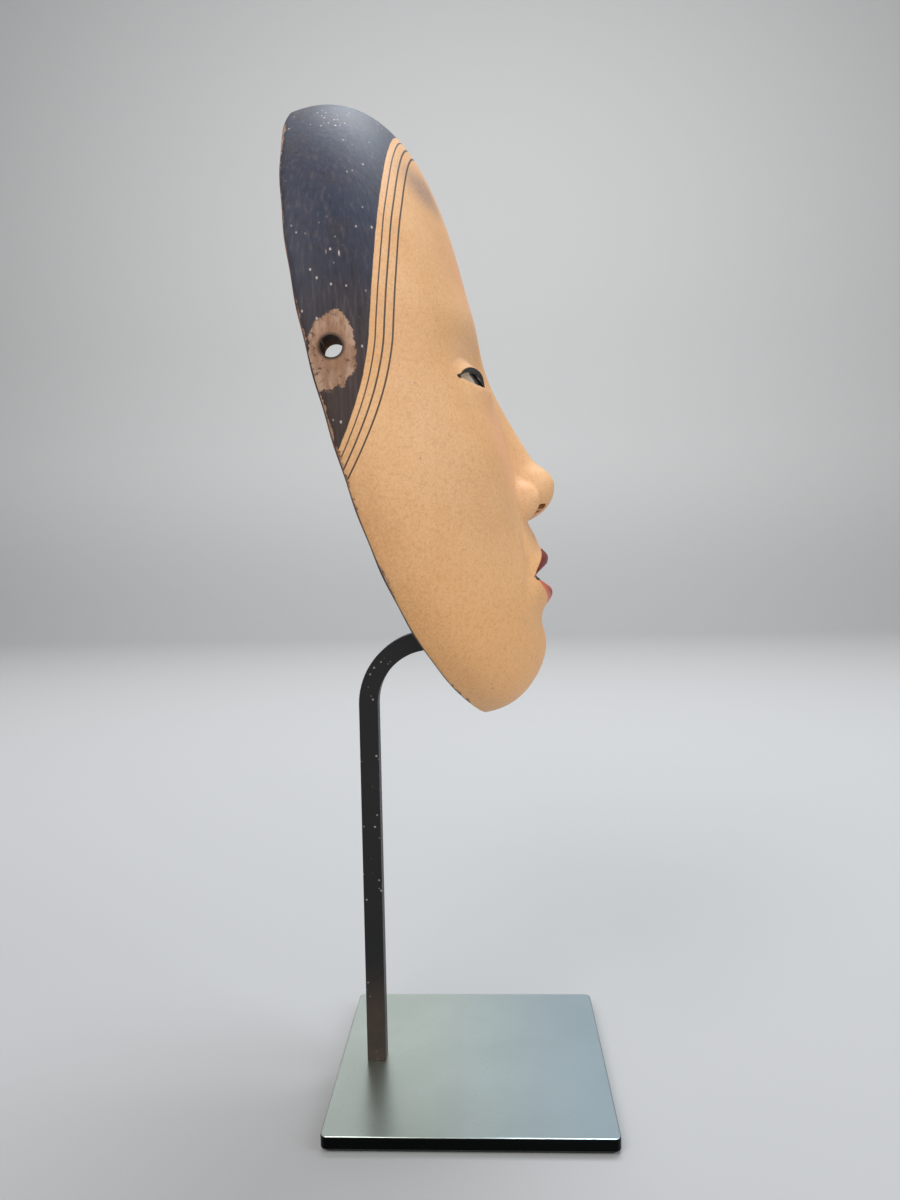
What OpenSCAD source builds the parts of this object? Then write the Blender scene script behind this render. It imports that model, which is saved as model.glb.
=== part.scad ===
// Carved noh mask of a young woman, resting on a bent-bar display stand.
// The face looks along +X and the origin is the middle of the felt's lower face.

/* [Mask] */
// Height of the mask from chin edge to crown edge
mask_h = 206; // [190:1:215]
// Width of the mask across the temples
mask_w = 136; // [128:1:142]
// Depth from the rim to the flat of the face, without the nose
mask_depth = 47; // [43:1:50]
// Angle by which the mask leans back on its stand
lean = 15; // [12:1:18]
// Width of the rim around the open back
rim_w = 7; // [6:0.5:9]
// Thickness of the wood at the middle of the face
face_wall = 11; // [9:0.5:13]
// Height of the nose tip above the cheeks
nose_h = 14.6; // [12:0.2:17]
// Diameter of the two holes for the cord
cord_hole_d = 6; // [4:0.5:7]
// Diameter of the opening in each pupil
pupil_d = 5.5; // [4:0.5:7]

/* [Stand] */
// Side of the square base plate
plate_w = 92; // [80:1:120]
// Thickness of the base plate
plate_t = 4; // [3:0.5:6]
// Thickness of the felt under the plate
felt_t = 1.2; // [1:0.1:2]
// Side of the square bar
bar_w = 6.5; // [6:0.5:8]
// Distance of the bar behind the middle of the plate
bar_back = 33.5; // [30:0.5:36]
// Height of the middle of the bar's level arm
arm_z = 153; // [151:0.5:154]
// Radius of the bend, at the middle of the bar
bend_r = 22; // [16:1:24]
// Width of the flat strips of the bracket
strip_w = 10; // [8:1:12]
// Thickness of the flat strips of the bracket
strip_t = 2; // [1.5:0.5:2]

/* [Hidden] */
round_fn = 48;

// The mask has its own frame: d forward from the chin edge, y across, h up the face.
chin_x = 8.5;
chin_z = 128.5;
mid_h = mask_h / 2;
wide_h = 0.58 * mask_h;
front_h = 0.56 * mask_h;
rim_back = 17.5;
chin_rise = 16.5;
crown_rise = 12.5;
cap_lift = 0.07;

// Heights of the features, shared out over the height of the face
chin_boss_h = 0.065 * mask_h;
lip_groove_h = 0.12 * mask_h;
lower_lip_h = 0.158 * mask_h;
mouth_h = 0.193 * mask_h;
upper_lip_h = 0.226 * mask_h;
nose_base_h = 0.285 * mask_h;
nose_tip_h = 0.334 * mask_h;
eye_h = 0.505 * mask_h;
nose_root_h = 0.563 * mask_h;
brow_h = 0.6 * mask_h;
eye_y = mask_w / 5 + 1.5;
mouth_half = 19;
mouth_gap = 4;

// Rows and columns of the surface grid
chin_rows = 8;
face_rows = 48;
crown_rows = 14;
rows = chin_rows + face_rows + crown_rows;
outer_cols = 46;
inner_cols = 24;
cap_h = 20;
crown_h = 0.62 * mask_h;

function bump(x, middle, width) = exp(-pow((x - middle) / width, 2));
function ramp(x, low, high) =
  let (t = max(0, min(1, (x - low) / (high - low)))) t * t * (3 - 2 * t);

// Height of a grid row, with rows crowded at both ends and over the features
function row_h(i) =
  i < chin_rows ? cap_h * (1 - cos(90 * i / chin_rows))
  : i <= chin_rows + face_rows ? cap_h + (crown_h - cap_h) * (i - chin_rows) / face_rows
  : crown_h + (mask_h - crown_h) * sin(90 * (i - chin_rows - face_rows) / crown_rows);

// Angle of a grid column round the face, finer at the middle
function col_angle(j, cols) =
  let (v = 2 * j / cols - 1) 90 * (0.6 * v + 0.4 * v * v * v);

// Depth of the rim: it bows backwards between the chin and the crown
function rim_d(h) =
  h < mid_h ? -rim_back + chin_rise * pow((mid_h - h) / mid_h, 3)
  : -rim_back + crown_rise * pow((h - mid_h) / (mask_h - mid_h), 2);

// Half width of the outline, as a share of the greatest
function outline(h) =
  let (x = h > wide_h ? (h - wide_h) / (mask_h - wide_h) : (wide_h - h) / wide_h)
  sqrt(max(0, 1 - pow(x, 2.1)));

// Depth of the middle line in front of the rim, as a share of the greatest
function dome(h) =
  let (
    x = h > front_h ? (h - front_h) / (mask_h - front_h) : (front_h - h) / front_h,
    roundness = h > front_h ? 2.9 : 3.2
  )
  sqrt(max(0, 1 - pow(x, roundness)));

// Upper half of a rounded lump of height 1, with its own half width and half height
function lump(y, h, middle_y, middle_h, half_y, half_h) =
  sqrt(max(0, 1 - pow((y - middle_y) / half_y, 2) - pow((h - middle_h) / half_h, 2)));

// The greater of two heights, with the crease between them rounded
function blend(a, b) = ln(exp(0.7 * a) + exp(0.7 * b)) / 0.7;

// A ridge that widens downwards, a round tip and two wings
function nose(y, h) =
  let (
    s = max(0, min(1, (nose_root_h - h) / (nose_root_h - nose_tip_h))),
    stop = ramp(h, nose_tip_h - 10, nose_tip_h + 2),
    ridge = 0.89 * nose_h * pow(s, 1.35) * stop * bump(y, 0, 6.2 + 2.6 * s),
    tip = nose_h * lump(y, h, 0, nose_tip_h, 9.6, 9.8),
    wings = 0.59 * nose_h * lump(abs(y), h, 10.4, nose_tip_h - 2.6, 5.9, 6.6)
  )
  blend(blend(ridge, tip), wings) - ln(3) / 0.7;

function eyes(y, h) =
  2 * bump(abs(y), eye_y, 20) * bump(h, brow_h, 8)
  - 4 * bump(abs(y), eye_y - 2, 14) * bump(h, eye_h + 4, 9)
  - 2 * bump(abs(y), 13, 6) * bump(h, eye_h + 3, 8)
  + 4 * bump(abs(y), eye_y, 11) * bump(h, eye_h - 1, 6);

function mouth(y, h) =
  4.5 * bump(y, 0, 25) * bump(h, mouth_h, 16)
  + 2.5 * bump(y, 0, 16) * bump(h, upper_lip_h, 5)
  + 3 * bump(y, 0, 15) * bump(h, lower_lip_h, 5.5)
  - 2 * bump(y, 0, 18) * bump(h, lip_groove_h, 6)
  + 3.5 * bump(y, 0, 17) * bump(h, chin_boss_h, 10);

function cheeks(y, h) = 3 * bump(abs(y), 0.28 * mask_w, 17) * bump(h, 0.38 * mask_h, 20);

// The hollow follows the nose, eyes and mouth loosely, so the wood stays even
function hollow_relief(y, h) =
  0.5 * nose_h * bump(y, 0, 11) * bump(h, nose_tip_h + 6, 17)
  + 4.5 * bump(abs(y), eye_y, 11) * bump(h, eye_h, 9)
  + 6 * bump(y, 0, 22) * bump(h, mouth_h, 10);

function face_relief(y, h) = nose(y, h) + eyes(y, h) + mouth(y, h) + cheeks(y, h);

// Point of the outer or the inner surface, in the mask's own frame
function skin_point(row, angle, inner) =
  let (
    edge = inner ? rim_w : 0,
    h0 = row_h(row),
    h = edge + h0 * (mask_h - 2 * edge) / mask_h,
    share = inner ? (mask_w / 2 - rim_w) / (mask_w / 2) : 1,
    y = mask_w / 2 * share * outline(h0) * sin(angle),
    depth = (mask_depth - (inner ? face_wall : 0)) * dome(h0) * pow(cos(angle), 0.9),
    u = h / mid_h - 1,
    lift = cap_lift * pow(u, 3) * depth,
    fade = min(1, 1.6 * pow(cos(angle), 0.7)) * dome(h0),
    relief = inner ? hollow_relief(y, h) : face_relief(y, h)
  )
  [rim_d(h) + depth + fade * relief, y, h + lift];

function skin_grid(cols, inner) = concat(
  [skin_point(0, 0, inner)],
  [skin_point(rows, 0, inner)],
  [for (i = [1:rows - 1]) for (j = [0:cols]) skin_point(i, col_angle(j, cols), inner)]
);

// Index of a grid point: the two poles come first, then the rows
function at(i, j, cols) = i == 0 ? 0 : i == rows ? 1 : 2 + (i - 1) * (cols + 1) + j;

function skin_faces(cols, start, turned) = [
  for (i = [0:rows - 1]) for (j = [0:cols - 1])
    let (
      a = start + at(i, j, cols),
      b = start + at(i, j + 1, cols),
      c = start + at(i + 1, j + 1, cols),
      d = start + at(i + 1, j, cols)
    )
    each concat(
      i == 0 ? [] : [turned ? [a, b, c] : [c, b, a]],
      i == rows - 1 ? [] : [turned ? [a, c, d] : [d, c, a]]
    )
];

// Flat band of the rim, from the outer edge to the inner edge
function rim_faces(outer_j, inner_j, start, turned) = [
  for (i = [0:rows - 1])
    let (
      a = at(i, outer_j, outer_cols),
      b = at(i + 1, outer_j, outer_cols),
      c = start + at(i + 1, inner_j, inner_cols),
      d = start + at(i, inner_j, inner_cols)
    )
    each (turned ? [[a, b, c], [a, c, d]] : [[c, b, a], [d, c, a]])
];

module carved_block() {
  outer = skin_grid(outer_cols, false);
  inner = skin_grid(inner_cols, true);
  start = len(outer);
  polyhedron(
    points = concat(outer, inner),
    faces = concat(
      skin_faces(outer_cols, 0, false),
      skin_faces(inner_cols, start, true),
      rim_faces(0, 0, start, false),
      rim_faces(outer_cols, inner_cols, start, true)
    ),
    convexity = 10
  );
}

// Puts a child drawn in the mask's own frame in its place on the stand
module in_mask_frame() {
  translate([chin_x, 0, chin_z]) rotate([0, -lean, 0]) children();
}

hole_h = 0.57 * mask_h;
hole_d = rim_d(hole_h) + 6.2;

module cord_holes() {
  translate([hole_d, 0, hole_h])
    rotate([90, 0, 0])
      cylinder(d = cord_hole_d, h = mask_w + 10, center = true, $fn = round_fn);
}

module pupil_openings() {
  for (side = [-1, 1])
    translate([0, side * eye_y, eye_h])
      rotate([0, 90, 0])
        cylinder(d = pupil_d, h = 60, $fn = round_fn);
}

module nostrils() {
  for (side = [-1, 1])
    translate([33, side * 5.5, nose_base_h - 4])
      rotate([0, -25, 0])
        cylinder(d = 4, h = 26, center = true, $fn = round_fn);
}

// Opening between the teeth and the lower lip, the shape that two arcs enclose
module mouth_opening() {
  arc_r = (mouth_half * mouth_half + mouth_gap * mouth_gap) / (2 * mouth_gap);
  translate([0, 0, mouth_h])
    rotate([90, 0, 90])
      linear_extrude(80)
        intersection() {
          translate([0, arc_r - mouth_gap]) circle(r = arc_r, $fn = 180);
          translate([0, mouth_gap - arc_r]) circle(r = arc_r, $fn = 180);
        }
}

module mask_shell() {
  color("burlywood")
    in_mask_frame()
      difference() {
        carved_block();
        cord_holes();
        pupil_openings();
        nostrils();
        mouth_opening();
      }
}

plate_top = felt_t + plate_t;
screw_r = 2;

module rounded_square(side, corner_r) {
  for (turn = [0, 90])
    rotate(turn)
      square([side, side - 2 * corner_r], center = true);
  for (x = [-1, 1])
    for (y = [-1, 1])
      translate([x, y] * (side / 2 - corner_r))
        circle(r = corner_r, $fn = round_fn);
}

// Head of a countersunk screw, or the cut for it, with its wide end at the bottom
module countersink(extra) {
  cylinder(r1 = 2 * screw_r + extra, r2 = screw_r + extra, h = screw_r, $fn = round_fn);
}

module base_plate() {
  color([0.16, 0.18, 0.17])
    difference() {
      translate([0, 0, felt_t]) linear_extrude(plate_t) rounded_square(plate_w, 2);
      translate([-bar_back, 0, felt_t - 1])
        cylinder(r = screw_r + 0.2, h = plate_t + 2, $fn = round_fn);
      translate([-bar_back, 0, felt_t]) countersink(0.2);
    }
}

module base_felt() {
  color([0.12, 0.13, 0.12]) linear_extrude(felt_t) rounded_square(plate_w - 2, 2);
}

arm_end = 2;
screw_into_post = 14;
arm_screw_r = 1.5;
arm_hole_l = 10;

module post() {
  bend_x = bend_r - bar_back;
  color([0.05, 0.05, 0.06])
    difference() {
      union() {
        translate([-bar_back - bar_w / 2, -bar_w / 2, plate_top])
          cube([bar_w, bar_w, arm_z - bend_r - plate_top]);
        translate([bend_x, 0, arm_z - bend_r])
          rotate([90, 0, 0])
            rotate([0, 0, 90])
              rotate_extrude(angle = 90, $fn = 96)
                translate([bend_r - bar_w / 2, -bar_w / 2]) square(bar_w);
        translate([bend_x, -bar_w / 2, arm_z - bar_w / 2]) cube([arm_end - bend_x, bar_w, bar_w]);
      }
      translate([-bar_back, 0, plate_top - 1])
        cylinder(r = screw_r, h = screw_into_post + 2, $fn = round_fn);
      translate([arm_end - arm_hole_l, 0, arm_z])
        rotate([0, 90, 0])
          cylinder(r = arm_screw_r, h = arm_hole_l + 1, $fn = round_fn);
    }
}

module base_screw() {
  color("dimgray")
    translate([-bar_back, 0, felt_t])
      union() {
        countersink(0);
        translate([0, 0, screw_r])
          cylinder(r = screw_r - 0.05, h = plate_t - screw_r + screw_into_post, $fn = round_fn);
      }
}

// Directions across and along a strip whose heading turns from +Z towards -X
function across(heading) = [cos(heading), sin(heading)];
function along(heading) = [-sin(heading), cos(heading)];
bend_steps = 12;

// One edge of a bent strip, at a distance off its middle, through legs of [length, turn, radius]
function strip_edge(legs, off, i = 0, from = [0, 0], heading = 0) =
  i == len(legs) ? []
  : let (
      turn = legs[i][1],
      corner = from + legs[i][0] * along(heading),
      reach = (turn < 0 ? 1 : -1) * legs[i][2],
      centre = corner + reach * across(heading),
      first = i == 0 ? [from + off * across(heading)] : [],
      bend = turn == 0 ? [] : [
        for (k = [1:bend_steps]) centre + (off - reach) * across(heading + turn * k / bend_steps)
      ]
    )
    concat(
      first,
      [corner + off * across(heading)],
      bend,
      strip_edge(legs, off, i + 1, centre - reach * across(heading + turn), heading + turn)
    );

function reversed(list) = [for (i = [len(list) - 1:-1:0]) list[i]];
function flipped(list) = [for (i = [1:len(list) - 1]) [list[i][0], -list[i][1]]];

// A strip that starts at the origin and runs up +Z, with its faces along X
module strip_run(legs) {
  rotate([90, 0, 0])
    linear_extrude(strip_w, center = true)
      polygon(concat(strip_edge(legs, strip_t / 2), reversed(strip_edge(legs, -strip_t / 2))));
}

// The same strip with a mirror image of itself below the origin
module strip_pair(legs) {
  front = strip_edge(legs, strip_t / 2);
  back = strip_edge(legs, -strip_t / 2);
  rotate([90, 0, 0])
    linear_extrude(strip_w, center = true)
      polygon(concat(front, reversed(back), flipped(back), reversed(flipped(front))));
}

// The bracket: a foot screwed to the arm, a long leg that leans as the mask does, and a tip
foot_x = arm_end + strip_t / 2;
foot_drop = 6;
foot_l = 13;
foot_bend_r = 8;
spine_leg = 131;
tip_turn = 38;
tip_r = 12;
tip_leg = 11;
upper_bar_at = 106;
lower_bar_at = 38;
rivet_r = 1.5;
washer_t = 0.6;
screw_head_t = 1.8;

// The crossbars: half length of the straight part, then an end bent back
upper_half = 42;
lower_half = 38;
end_turn = 40;
end_r = 6;
end_leg = 12;
pad_d = 9;
pad_t = 2;
crown_pad_t = 2.4;

// Puts a child on the back face of the spine's long leg, at a distance along it
module on_spine(distance) {
  translate([foot_x, 0, arm_z - foot_drop + foot_l + foot_bend_r * tan(lean / 2)])
    rotate([0, -lean, 0])
      translate([-strip_t / 2, 0, distance + foot_bend_r * tan(lean / 2)])
        children();
}

module spine() {
  color([0.08, 0.08, 0.09])
    difference() {
      translate([foot_x, 0, arm_z - foot_drop])
        strip_run([[foot_l, lean, foot_bend_r], [spine_leg, -tip_turn, tip_r], [tip_leg, 0, 0]]);
      translate([0, 0, arm_z])
        rotate([0, 90, 0])
          cylinder(r = arm_screw_r + 0.1, h = 20, $fn = round_fn);
      for (distance = [lower_bar_at, upper_bar_at])
        on_spine(distance)
          rotate([0, 90, 0])
            cylinder(r = rivet_r, h = 20, center = true, $fn = round_fn);
    }
}

module spine_washer() {
  color("silver")
    translate([arm_end + strip_t, 0, arm_z])
      rotate([0, 90, 0])
        difference() {
          cylinder(r = 3.5, h = washer_t, $fn = round_fn);
          translate([0, 0, -1]) cylinder(r = arm_screw_r + 0.1, h = washer_t + 2, $fn = round_fn);
        }
}

module spine_screw() {
  color("silver")
    translate([arm_end + strip_t + washer_t, 0, arm_z])
      rotate([0, 90, 0])
        difference() {
          union() {
            cylinder(r = 2.8, h = screw_head_t, $fn = round_fn);
            translate([0, 0, -strip_t - washer_t - 8])
              cylinder(r = arm_screw_r - 0.05, h = strip_t + washer_t + 8, $fn = round_fn);
          }
          translate([0, 0, screw_head_t - 1]) cylinder(r = 1.2, h = 2, $fn = 6);
        }
}

// A strip across the hollow whose two ends are bent back to meet the wood squarely
module crossbar(distance, half) {
  color([0.08, 0.08, 0.09])
    on_spine(distance)
      difference() {
        translate([-strip_t / 2, 0, 0])
          rotate([-90, 0, 0])
            strip_pair([[half, end_turn, end_r], [end_leg, 0, 0]]);
        rotate([0, 90, 0]) cylinder(r = rivet_r, h = 20, center = true, $fn = round_fn);
      }
}

module upper_crossbar() {
  crossbar(upper_bar_at, upper_half);
}

module lower_crossbar() {
  crossbar(lower_bar_at, lower_half);
}

module crossbar_rivets() {
  color("silver")
    for (distance = [lower_bar_at, upper_bar_at])
      on_spine(distance)
        rotate([0, 90, 0]) {
          cylinder(r = rivet_r, h = 2 * strip_t, center = true, $fn = round_fn);
          for (end = [0, 1])
            mirror([0, 0, end])
              translate([0, 0, strip_t])
                cylinder(r1 = 2.6, r2 = 1.8, h = 1, $fn = round_fn);
        }
}

// Puts a round felt pad on the front of a crossbar's bent end; side 1 is the left end
module end_pad(distance, half, side) {
  color("dimgray")
    on_spine(distance)
      rotate([-90 * side, 0, 0])
        translate([-strip_t / 2 - end_r * (1 - cos(end_turn)), 0, half + end_r * sin(end_turn)])
          rotate([0, -end_turn, 0])
            translate([strip_t / 2, 0, end_leg / 2])
              rotate([0, 90, 0])
                cylinder(d = pad_d, h = pad_t, $fn = round_fn);
}

module left_temple_pad() {
  end_pad(upper_bar_at, upper_half, 1);
}

module right_temple_pad() {
  end_pad(upper_bar_at, upper_half, -1);
}

module left_cheek_pad() {
  end_pad(lower_bar_at, lower_half, 1);
}

module right_cheek_pad() {
  end_pad(lower_bar_at, lower_half, -1);
}

// Felt glued over the front of the spine's bent tip, under the crown
module crown_pad() {
  color("dimgray")
    on_spine(spine_leg)
      translate([strip_t / 2 + tip_r * (1 - cos(tip_turn)), 0, tip_r * sin(tip_turn)])
        rotate([0, tip_turn, 0])
          translate([strip_t / 2, -strip_w / 2, 0])
            cube([crown_pad_t, strip_w, tip_leg]);
}

mask_shell();
base_plate();
base_felt();
post();
base_screw();
spine();
spine_washer();
spine_screw();
upper_crossbar();
lower_crossbar();
crossbar_rivets();
crown_pad();
left_temple_pad();
right_temple_pad();
left_cheek_pad();
right_cheek_pad();
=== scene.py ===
import math
import bpy
import numpy as np
from mathutils import Matrix, Vector


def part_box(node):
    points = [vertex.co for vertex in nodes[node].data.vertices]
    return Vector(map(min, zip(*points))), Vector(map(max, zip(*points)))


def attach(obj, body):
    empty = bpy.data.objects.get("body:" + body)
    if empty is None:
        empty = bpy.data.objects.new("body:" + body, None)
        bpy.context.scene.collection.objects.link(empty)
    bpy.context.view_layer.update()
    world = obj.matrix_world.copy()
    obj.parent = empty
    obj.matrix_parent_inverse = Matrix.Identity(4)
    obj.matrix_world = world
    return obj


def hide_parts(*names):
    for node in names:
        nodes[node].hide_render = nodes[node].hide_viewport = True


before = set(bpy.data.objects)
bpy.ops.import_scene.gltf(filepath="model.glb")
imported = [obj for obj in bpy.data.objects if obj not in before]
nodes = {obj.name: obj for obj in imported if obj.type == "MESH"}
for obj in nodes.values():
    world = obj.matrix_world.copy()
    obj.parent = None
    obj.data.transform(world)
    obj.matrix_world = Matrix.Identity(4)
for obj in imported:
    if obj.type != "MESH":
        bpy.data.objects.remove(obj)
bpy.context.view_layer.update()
mm = 0.001

# The mask is worked out in its own frame, in millimetres: d forward, y across, h up the face.
# place() turns that into the frame of the whole object, leaning back on the stand.
maskSize = {
    "height": 206.0,
    "halfWidth": 68.0,
    "depth": 47.0,
    "lean": 15.0,  # degrees
    "chinX": 8.5,
    "chinZ": 128.5,
    "rimWidth": 7.0,
    "wall": 11.0,
    "rimBack": 17.5,
    "chinRise": 16.5,
    "crownRise": 12.5,
    "capLift": 0.07,
    "widestAt": 0.58,  # share of the height where the outline is widest
    "deepestAt": 0.56,  # share of the height where the dome is deepest
}


def bump(x, middle, width):
    # exp(-((x - middle) / width)^2)
    return np.exp(-(((x - middle) / width) ** 2))


def ramp(x, low, high):
    # 3t^2 - 2t^3 with t = (x - low) / (high - low), held between 0 and 1
    t = np.clip((x - low) / (high - low), 0, 1)
    return t * t * (3 - 2 * t)


def softMax(a, b, sharpness):
    # log(e^(ka) + e^(kb)) / k
    return np.logaddexp(sharpness * a, sharpness * b) / sharpness


def ball(y, h, centreY, centreH, radiusY, radiusH):
    # Upper half of an ellipsoid of height 1: sqrt(1 - (y/ry)^2 - (h/rh)^2)
    inside = 1 - ((y - centreY) / radiusY) ** 2 - ((h - centreH) / radiusH) ** 2
    return np.sqrt(np.clip(inside, 0, None))


def pastEnd(y, half, share=1.0):
    # How far |y| is past a share of the half width, in half widths: max(|y| / half - share, 0)
    return np.clip(np.abs(y) / half - share, 0, None)


face = {
    "eyeY": 28.7,
    "eyeH": 103.5,
    "eyeHalf": 13.5,
    "pupil": 2.5,
    "pupilUp": 0.5,  # above the middle of the eye
    "mouthH": 40.0,
    "mouthHalf": 19.5,
    "mouthOpen": 3.7,  # half of the opening's height
    "cornerFall": 8.0,  # how fast a distance drops past the mouth's corner
    "noseTipH": 68.5,
    "noseRootH": 110.0,
    "nostrilY": 5.6,
    "nostrilH": 61.6,
    "nostrilHalfY": 2.4,
    "nostrilHalfH": 1.5,
    "browH": 123.0,
    "toothLength": 3.5,
    "toothWidth": 5.2,
    "blend": 0.7,  # sharpness of the blends between the parts of the nose
}

# Soft swellings and hollows: rise, place and spread across, place and spread up the face
mounds = {
    "brow": (1.6, face["eyeY"] - 2, 20, face["browH"], 9),
    "socket": (-3.2, face["eyeY"] - 3, 14, face["eyeH"] + 6, 9),
    "innerSocket": (-2.0, 13, 6, face["eyeH"] + 5, 9),
    "eyeball": (3.6, face["eyeY"] - 1.5, 12, face["eyeH"], 7),
    "muzzle": (4.6, 0, 25, face["mouthH"] + 1, 16),
    "underLip": (-1.8, 0, 17, 26.5, 4.5),
    "chin": (3.6, 0, 17, 14, 10),
    "mouthCorner": (-1.2, face["mouthHalf"] + 3, 3.2, face["mouthH"] + 2.5, 5),
    "cheek": (3.0, 37, 17, 78, 20),
}
backMounds = {
    "nose": (7.0, 0, 11, face["noseTipH"] + 6, 17),
    "eye": (4.5, face["eyeY"], 11, face["eyeH"], 9),
    "mouth": (5.0, 0, 22, face["mouthH"], 10),
}


def mound(y, h, rise, across, wide, up, tall):
    # rise * exp(-((|y| - across) / wide)^2) * exp(-((h - up) / tall)^2)
    return rise * bump(np.abs(y), across, wide) * bump(h, up, tall)


def rimDepth(h):
    # The rim bows backwards: a cubic below the middle and a parabola above it
    size = maskSize
    middle = size["height"] / 2
    low = -size["rimBack"] + size["chinRise"] * np.clip((middle - h) / middle, 0, None) ** 3
    high = -size["rimBack"] + size["crownRise"] * ((h - middle) / middle) ** 2
    return np.where(h < middle, low, high)


def shareAt(h, middle, lowPower, highPower):
    # sqrt(1 - |x|^p), with x from 0 at the middle to 1 at either end of the mask
    x = np.where(h > middle, (h - middle) / (maskSize["height"] - middle), (middle - h) / middle)
    power = np.where(h > middle, highPower, lowPower)
    return np.sqrt(np.clip(1 - np.clip(x, 0, 1) ** power, 0, None))


def outlineShare(h):
    # The half width at height h as a share of the widest
    return shareAt(h, maskSize["widestAt"] * maskSize["height"], 2.1, 2.1)


def eyeShape(y, h):
    # Signed distance into the almond, its upper edge, and the place along it from -1 to 1
    x = (np.abs(y) - face["eyeY"]) / face["eyeHalf"]
    lidOpen = np.clip(1 - x * x, 0, None)
    upper = face["eyeH"] + 3.6 * lidOpen**0.75 + 0.9 * x
    lower = face["eyeH"] - 2.7 * lidOpen**0.85 + 0.9 * x
    return np.minimum(upper - h, h - lower) - 6 * np.clip(np.abs(x) - 1, 0, None), upper, x


def mouthShape(y):
    # Upper and lower edge of the open mouth, and the share of its half width, from 0 to 1
    x = np.clip(np.abs(y) / face["mouthHalf"], 0, 1)
    middle = face["mouthH"] + 1.6 * x**2
    half = face["mouthOpen"] * (1 - x**2) ** 0.8
    return middle + half, middle - half, x


def toothEnd(upper, x):
    # The teeth's lower ends: their length below the upper lip, fading to nothing at the corners
    return upper - face["toothLength"] * (1 - x**2) ** 0.35


def lipShape(y, h):
    # Signed distance into the red of each lip
    upper, lower, x = mouthShape(y)
    bow = 5.2 * (1 - x**2) ** 0.7 - 0.9 * bump(y, 0, 2.2) + 0.5 * bump(np.abs(y), 5, 3)
    full = 5.6 * (1 - x**2) ** 0.8
    top = np.minimum(upper + bow - h, h - upper + 0.6)
    bottom = np.minimum(h - lower + full, lower + 0.6 - h)
    off = face["cornerFall"] * pastEnd(y, face["mouthHalf"])
    return top - off, bottom - off


def nose(y, h):
    # A widening ridge, a round tip and two wings, blended with a soft maximum
    tipH, blend = face["noseTipH"], face["blend"]
    top = face["noseRootH"] + 6
    down = np.clip((top - h) / (top - tipH), 0, 1)
    stop = ramp(h, tipH - 10, tipH + 2)
    ridge = 13.0 * down**1.35 * stop * bump(y, 0, 6.2 + 2.6 * down)
    tip = 14.6 * ball(y, h, 0, tipH + 0.3, 9.6, 9.8)
    wings = 8.8 * ball(np.abs(y), h, 10.2, tipH - 2.6, 6.6, 7.4) ** 1.5
    return softMax(softMax(ridge, tip, blend), wings, blend) - math.log(3) / blend


def lids(y, h):
    # A crease above the lid, the lid's edge, and the eye sunk a little behind both
    inEye, upper, x = eyeShape(y, h)
    lidOpen = np.clip(1 - (x / 1.35) ** 2, 0, None) ** 1.4
    crease = -0.6 * lidOpen * bump(h - upper, 4.2, 1.2)
    lidEdge = 0.7 * lidOpen * bump(h - upper, 0.7, 1.1)
    return crease + lidEdge - 1.5 * ramp(inEye, -0.15, 0.75)


def mouth(y, h):
    # Two rolled lips and the groove above them, then the opening with its set-back teeth
    upper, lower, x = mouthShape(y)
    top, bottom = lipShape(y, h)
    half = face["mouthHalf"]
    across = np.clip(1 - (np.abs(y) / (half + 1)) ** 2, 0, None) ** 0.6
    relief = 1.9 * across * bump(h - upper, 2.4, 2.6) + 2.5 * across * bump(h - lower, -2.6, 3.0)
    relief += 0.35 * ramp(top, -0.3, 0.5) + 0.3 * ramp(bottom, -0.3, 0.5)
    groove = 0.6 * bump(np.abs(y), 4.2, 1.8) - 0.9 * bump(y, 0, 2.6)
    relief += groove * bump(h, upper + 9, 4.5)
    inMouth = np.minimum(upper - h, h - lower) - face["cornerFall"] * pastEnd(y, half)
    tooth = 0.9 * np.abs(np.cos(math.pi * y / face["toothWidth"])) ** 0.5
    tooth = tooth * ramp(h - (upper + lower) / 2, -0.6, 0.6)
    return relief + ramp(inMouth, -0.1, 0.8) * (tooth - 5.0 + 1.5 * x)


def cheekFold(y, h):
    # A faint fold from the nose towards the mouth's corner, along a slanting line
    away = np.abs(y) - (17 + 0.32 * (66 - h))
    return -0.9 * bump(away, 0, 2.6) * bump(h, 55, 11)


def gougeMarks(y, h):
    # |sin| waves in two wavy directions, as a gouge leaves
    marks = np.abs(np.sin(np.pi * (h + 1.4 * np.sin(y / 6)) / 6.5))
    return marks * np.abs(np.sin(np.pi * (y + 1.1 * np.sin(h / 5)) / 8))


def skin(phi, h0, inner):
    # y = a(h) sin(phi), d = rim(h) + D(h) cos(phi)^0.9 + relief(y, h); the hollow is set back from it
    size = maskSize
    height, rimWidth = size["height"], size["rimWidth"]
    outline = outlineShare(h0)
    dome = shareAt(h0, size["deepestAt"] * height, 3.2, 2.9)
    cosine = np.clip(np.cos(phi), 0, None)
    sine = np.sin(phi)
    y = size["halfWidth"] * outline * sine
    rise = size["depth"] * dome * cosine**0.9
    fade = np.clip(1.6 * cosine**0.7, 0, 1) * dome
    if inner:
        y = y - rimWidth * outline * sine * np.abs(sine)
        h = rimWidth + h0 * (height - 2 * rimWidth) / height
        rise = rise * (1 - size["wall"] / size["depth"] * cosine**2)
        relief = sum(mound(y, h, *shape) for shape in backMounds.values()) + 0.55 * gougeMarks(y, h)
    else:
        h = h0
        relief = sum(mound(y, h, *shape) for shape in mounds.values())
        relief = relief + nose(y, h) + lids(y, h) + mouth(y, h) + cheekFold(y, h)
    lift = size["capLift"] * (h / (height / 2) - 1) ** 3 * rise
    return np.stack([rimDepth(h) + rise + fade * relief, y, h + lift], -1)


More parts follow.
